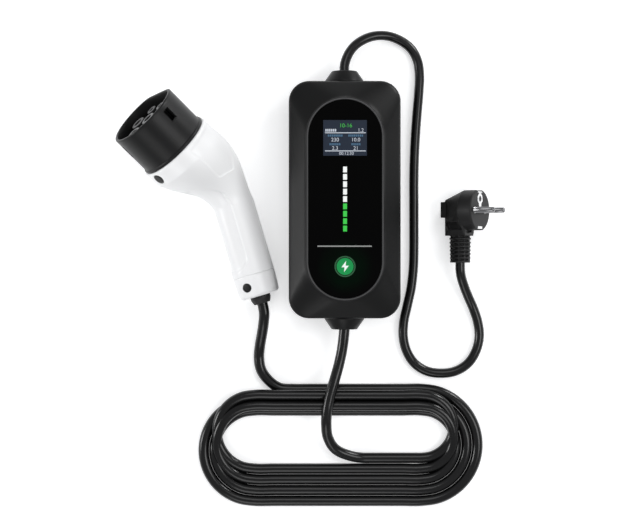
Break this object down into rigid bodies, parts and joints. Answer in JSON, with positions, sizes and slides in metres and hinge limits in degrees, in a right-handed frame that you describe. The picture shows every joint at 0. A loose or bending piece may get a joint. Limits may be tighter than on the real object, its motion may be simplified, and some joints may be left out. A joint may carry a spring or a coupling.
{
  "type": "portable electric vehicle charger",
  "caption": "Portable charging lead for an electric car: control box, pistol-grip vehicle connector, angled mains plug and coiled cable.",
  "frame": {"origin": "centre of the control box's flat back, on the surface that it rests on", "axes": "+Z out of the front panel, +Y towards the mains lead's gland, +X to the right of the display"},
  "size_m": [0.341, 0.4239, 0.0885],
  "materials": {
    "case_black": "fine moulded grain",
    "panel_black": "polished",
    "display_window": "polished",
    "green_light": "translucent",
    "handle_white": "satin",
    "connector_black": "satin",
    "soft_black": "matt",
    "cable_black": "satin sheath",
    "seal_red": "matt silicone",
    "core_sleeve": "satin",
    "board_green": "lacquered",
    "component_dark": "satin",
    "terminal_green": "satin",
    "insulator_pale": "satin",
    "screw_steel": "zinc plated",
    "contact_metal": "bright plated"
  },
  "bodies": {
    "root": {"back_case": "case_black", "front_case": "case_black", "case_gasket": "soft_black", "case_screws": "screw_steel", "front_panel": "panel_black", "display_module": "display_window", "display_board": "board_green", "display_screws": "screw_steel", "charge_bar": "green_light", "touch_key": "green_light", "key_ring": "green_light", "main_board": "board_green", "board_screws": "screw_steel", "power_relays": "component_dark", "supply_module": "component_dark", "smoothing_capacitor": "component_dark", "current_sensor": "component_dark", "fuse": "insulator_pale", "buzzer": "component_dark", "mains_terminals": "terminal_green", "output_terminals": "terminal_green", "mains_cores": "core_sleeve", "output_cores": "core_sleeve", "ribbon_cable": "insulator_pale", "top_gland": "soft_black", "bottom_gland": "soft_black", "cord_clamps": "connector_black", "clamp_screws": "screw_steel", "grip_housing": "handle_white", "end_ring": "handle_white", "cable_bushing": "soft_black", "grip_clamp": "connector_black", "connector_shroud": "connector_black", "shroud_seal": "soft_black", "contact_carrier": "connector_black", "contact_towers": "connector_black", "contact_seal": "seal_red", "power_contacts": "contact_metal", "signal_contacts": "contact_metal", "coding_board": "board_green", "connector_cores": "core_sleeve", "head_screw": "screw_steel", "head_screw_cap": "soft_black", "end_screw": "screw_steel", "end_screw_cap": "soft_black", "plug_body": "connector_black", "pin_bridge": "insulator_pale", "mains_pins": "contact_metal", "earth_clips": "contact_metal", "earth_socket": "contact_metal", "mains_lead": "cable_black", "charge_lead_box_side": "cable_black", "charge_coil": "cable_black", "charge_lead_connector_side": "cable_black"}
  },
  "joints": []
}
